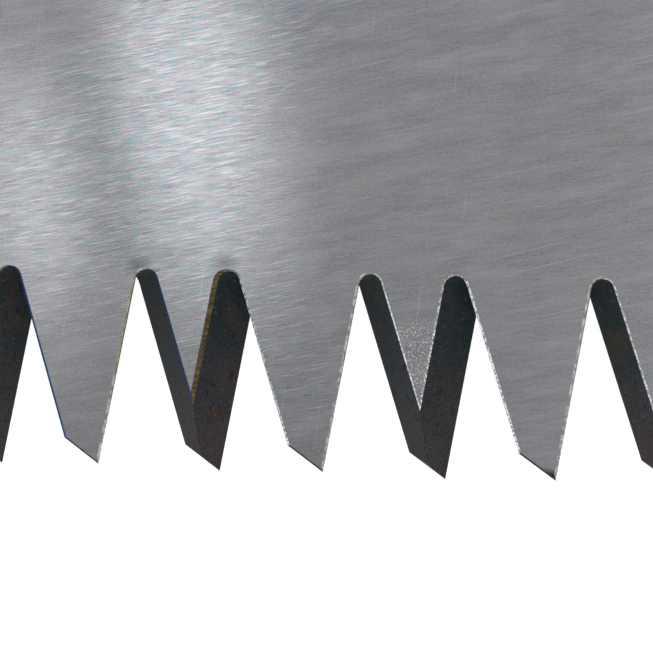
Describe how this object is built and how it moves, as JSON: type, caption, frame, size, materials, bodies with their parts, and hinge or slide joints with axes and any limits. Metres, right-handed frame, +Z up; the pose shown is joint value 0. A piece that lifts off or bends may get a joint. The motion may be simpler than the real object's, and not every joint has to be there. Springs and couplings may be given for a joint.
{
  "type": "pruning saw",
  "caption": "Folding pruning saw: straight ground blade with tall three-bevel pull-cut teeth, lever lock, and a two-part handle with rubber grip inlays.",
  "frame": {"origin": "bottom centre of the open saw's box, lying on its side", "axes": "+X along the saw from the blade's nose to the handle's end, +Y from the teeth to the blade's back, +Z up out of the side it lies on"},
  "size_m": [0.4532, 0.0566, 0.0272],
  "materials": {
    "blade_steel": "ground steel with fine scratches",
    "plated_steel": "plated steel",
    "black_steel": "black oxide",
    "bronze": "sintered bronze",
    "black_nylon": "fine moulded grain",
    "grey_nylon": "moulded, satin",
    "red_nylon": "moulded, satin",
    "grip_rubber": "soft, matt"
  },
  "bodies": {
    "handle": {"liner_upper": "plated_steel", "liner_lower": "plated_steel", "blade_stop_pin": "plated_steel", "closing_stop_pin_1": "plated_steel", "closing_stop_pin_2": "plated_steel", "lock_lever_pin": "plated_steel", "lock_spring": "plated_steel", "lanyard_bush": "plated_steel", "pivot_bolt": "plated_steel", "pivot_nut": "plated_steel", "handle_screw_1": "plated_steel", "handle_screw_2": "plated_steel", "handle_screw_3": "plated_steel", "handle_nut_1": "plated_steel", "handle_nut_2": "plated_steel", "handle_nut_3": "plated_steel", "pivot_bush": "bronze", "pivot_washer_upper": "bronze", "pivot_washer_lower": "bronze", "handle_scale_upper": "black_nylon", "handle_scale_lower": "black_nylon", "spine_spacer": "grey_nylon", "closing_stop": "grey_nylon", "grip_pad_upper": "grip_rubber", "grip_pad_lower": "grip_rubber"},
    "blade": {"saw_blade": "blade_steel"},
    "lever": {"lock_lever": "black_steel", "lock_button": "red_nylon"}
  },
  "joints": [
    {"name": "blade_fold", "type": "hinge", "parent": "handle", "child": "blade", "pos_m": [-0.01159, -0.00845, 0.0136], "axis": [0, 0, 1], "range_deg": [0, 180]},
    {"name": "lock_release", "type": "hinge", "parent": "handle", "child": "lever", "pos_m": [0.01241, 0.00705, 0.0136], "axis": [0, 0, 1], "range_deg": [0, 7], "stiffness_Nm_per_rad": 0.4, "springref_deg": 20.05, "deforming": ["lock_spring"]}
  ]
}
